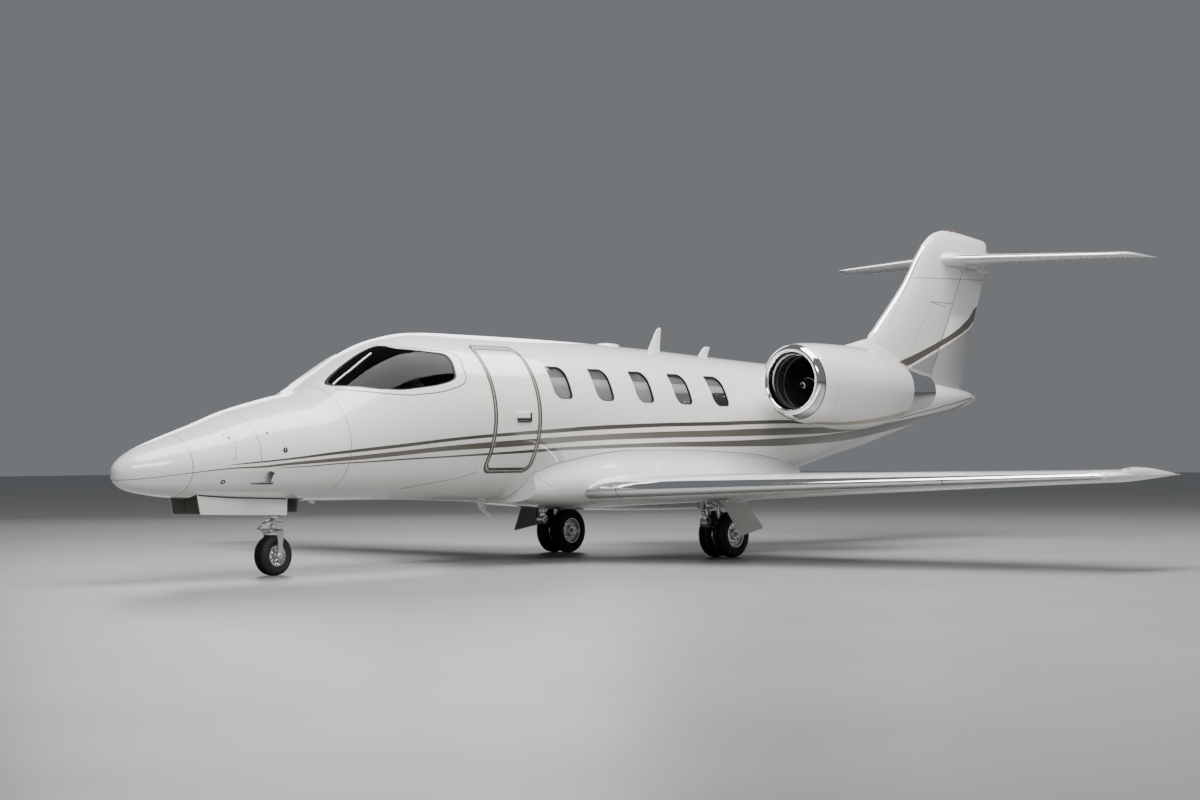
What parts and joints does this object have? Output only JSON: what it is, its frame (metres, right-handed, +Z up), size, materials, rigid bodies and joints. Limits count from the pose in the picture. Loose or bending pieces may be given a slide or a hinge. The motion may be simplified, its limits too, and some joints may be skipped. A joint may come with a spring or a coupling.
{
  "type": "business jet",
  "caption": "Light twin-engine jet with a T-tail, straight tapered wing, rear pod engines, hollow cabin and a drop-down entry door, standing on its gear.",
  "frame": {"origin": "on the ground, under the middle of the overall length, on the plane of symmetry", "axes": "+X forward to the nose, +Y to port, +Z up"},
  "size_m": [16.5568, 13.366, 4.338],
  "materials": {
    "hull_paint": "gloss pearl paint",
    "composite_paint": "gloss pearl paint",
    "polished": "polished",
    "turbine": "dark satin",
    "gear_steel": "satin",
    "rubber": "matt",
    "glazing": "gloss",
    "hide": "satin",
    "trim": "matt"
  },
  "bodies": {
    "airframe": {"aft_fuselage": "hull_paint", "belly_fairing": "composite_paint", "cabin_floor": "trim", "cabin_seats_port": "hide", "cabin_seats_starboard": "hide", "cabin_windows_port": "glazing", "cabin_windows_starboard": "glazing", "cockpit_section": "hull_paint", "crew_seats": "hide", "engine_core_port": "turbine", "engine_core_starboard": "turbine", "exhaust_nozzle_port": "polished", "exhaust_nozzle_starboard": "polished", "fin": "composite_paint", "forward_cabin": "hull_paint", "inlet_lip_port": "polished", "inlet_lip_starboard": "polished", "instrument_panel": "trim", "main_gear_door_port": "hull_paint", "main_gear_door_starboard": "hull_paint", "main_leg_port": "gear_steel", "main_leg_starboard": "gear_steel", "mid_cabin": "hull_paint", "nacelle_port": "composite_paint", "nacelle_starboard": "composite_paint", "nose_gear_door_port": "hull_paint", "nose_gear_door_starboard": "hull_paint", "nose_leg": "gear_steel", "nose_section": "hull_paint", "pylon_port": "composite_paint", "pylon_starboard": "composite_paint", "radome": "composite_paint", "tail_cone": "composite_paint", "tailplane": "composite_paint", "windscreen_port": "glazing", "windscreen_starboard": "glazing", "wing_port": "hull_paint", "wing_starboard": "hull_paint"},
    "nose_fork": {"nose_fork": "gear_steel"},
    "nose_wheel": {"nose_rim": "gear_steel", "nose_tyre": "rubber"},
    "main_wheels_port": {"main_rims_port": "gear_steel", "main_tyre_port_inner": "rubber", "main_tyre_port_outer": "rubber"},
    "main_wheels_starboard": {"main_rims_starboard": "gear_steel", "main_tyre_starboard_inner": "rubber", "main_tyre_starboard_outer": "rubber"},
    "fan_port": {"fan_port": "turbine"},
    "fan_starboard": {"fan_starboard": "turbine"},
    "entry_door": {"entry_door": "hull_paint"},
    "rudder": {"rudder": "composite_paint"},
    "elevator_port": {"elevator_port": "composite_paint"},
    "elevator_starboard": {"elevator_starboard": "composite_paint"},
    "aileron_port": {"aileron_port": "hull_paint"},
    "aileron_starboard": {"aileron_starboard": "hull_paint"},
    "flap_port": {"flap_port": "hull_paint"},
    "flap_starboard": {"flap_starboard": "hull_paint"}
  },
  "joints": [
    {"name": "nose_steering", "type": "hinge", "parent": "airframe", "child": "nose_fork", "pos_m": [6.2484, 0, 0.205], "axis": [0, 0, 1], "range_deg": [-60, 60]},
    {"name": "nose_wheel_spin", "type": "hinge", "parent": "nose_fork", "child": "nose_wheel", "pos_m": [6.2484, 0, 0.205], "axis": [0, 1, 0], "continuous": true},
    {"name": "main_wheels_port_spin", "type": "hinge", "parent": "airframe", "child": "main_wheels_port", "pos_m": [0.3584, 1.253, 0.27], "axis": [0, 1, 0], "continuous": true},
    {"name": "fan_port_spin", "type": "hinge", "parent": "airframe", "child": "fan_port", "pos_m": [-1.3216, 1.414, 2.036], "axis": [1, 0, 0], "continuous": true},
    {"name": "main_wheels_starboard_spin", "type": "hinge", "parent": "airframe", "child": "main_wheels_starboard", "pos_m": [0.3584, -1.253, 0.27], "axis": [0, 1, 0], "continuous": true},
    {"name": "fan_starboard_spin", "type": "hinge", "parent": "airframe", "child": "fan_starboard", "pos_m": [-1.3216, -1.414, 2.036], "axis": [1, 0, 0], "continuous": true},
    {"name": "entry_door_hinge", "type": "hinge", "parent": "airframe", "child": "entry_door", "pos_m": [3.5059, 0.67899, 1.044], "axis": [-0.9999, 0.0133, 0], "range_deg": [0, 115]},
    {"name": "rudder_hinge", "type": "hinge", "parent": "airframe", "child": "rudder", "pos_m": [-6.5416, 0, 3.03], "axis": [-0.5369, 0, 0.8437], "range_deg": [-25, 25]},
    {"name": "elevator_port_hinge", "type": "hinge", "parent": "airframe", "child": "elevator_port", "pos_m": [-7.65487, 1.25, 3.935], "axis": [-0.2903, 0.9569, 0], "range_deg": [-15, 20]},
    {"name": "aileron_port_hinge", "type": "hinge", "parent": "airframe", "child": "aileron_port", "pos_m": [0.02221, 5.2, 0.92718], "axis": [-0.0368, 0.9989, 0.0291], "range_deg": [-20, 20]},
    {"name": "flap_port_hinge", "type": "hinge", "parent": "airframe", "child": "flap_port", "pos_m": [0.12043, 2.535, 0.84965], "axis": [0.0368, -0.9989, -0.0291], "range_deg": [0, 40]},
    {"name": "elevator_starboard_hinge", "type": "hinge", "parent": "airframe", "child": "elevator_starboard", "pos_m": [-7.65487, -1.25, 3.935], "axis": [0.2903, 0.9569, 0], "range_deg": [-15, 20]},
    {"name": "aileron_starboard_hinge", "type": "hinge", "parent": "airframe", "child": "aileron_starboard", "pos_m": [0.02221, -5.2, 0.92718], "axis": [0.0368, 0.9989, -0.0291], "range_deg": [-20, 20]},
    {"name": "flap_starboard_hinge", "type": "hinge", "parent": "airframe", "child": "flap_starboard", "pos_m": [0.12043, -2.535, 0.84965], "axis": [-0.0368, -0.9989, 0.0291], "range_deg": [0, 40]}
  ],
  "couplings": [
    {"joint": "elevator_starboard_hinge", "follows": "elevator_port_hinge", "ratio": 1},
    {"joint": "aileron_starboard_hinge", "follows": "aileron_port_hinge", "ratio": -1},
    {"joint": "flap_starboard_hinge", "follows": "flap_port_hinge", "ratio": 1}
  ]
}
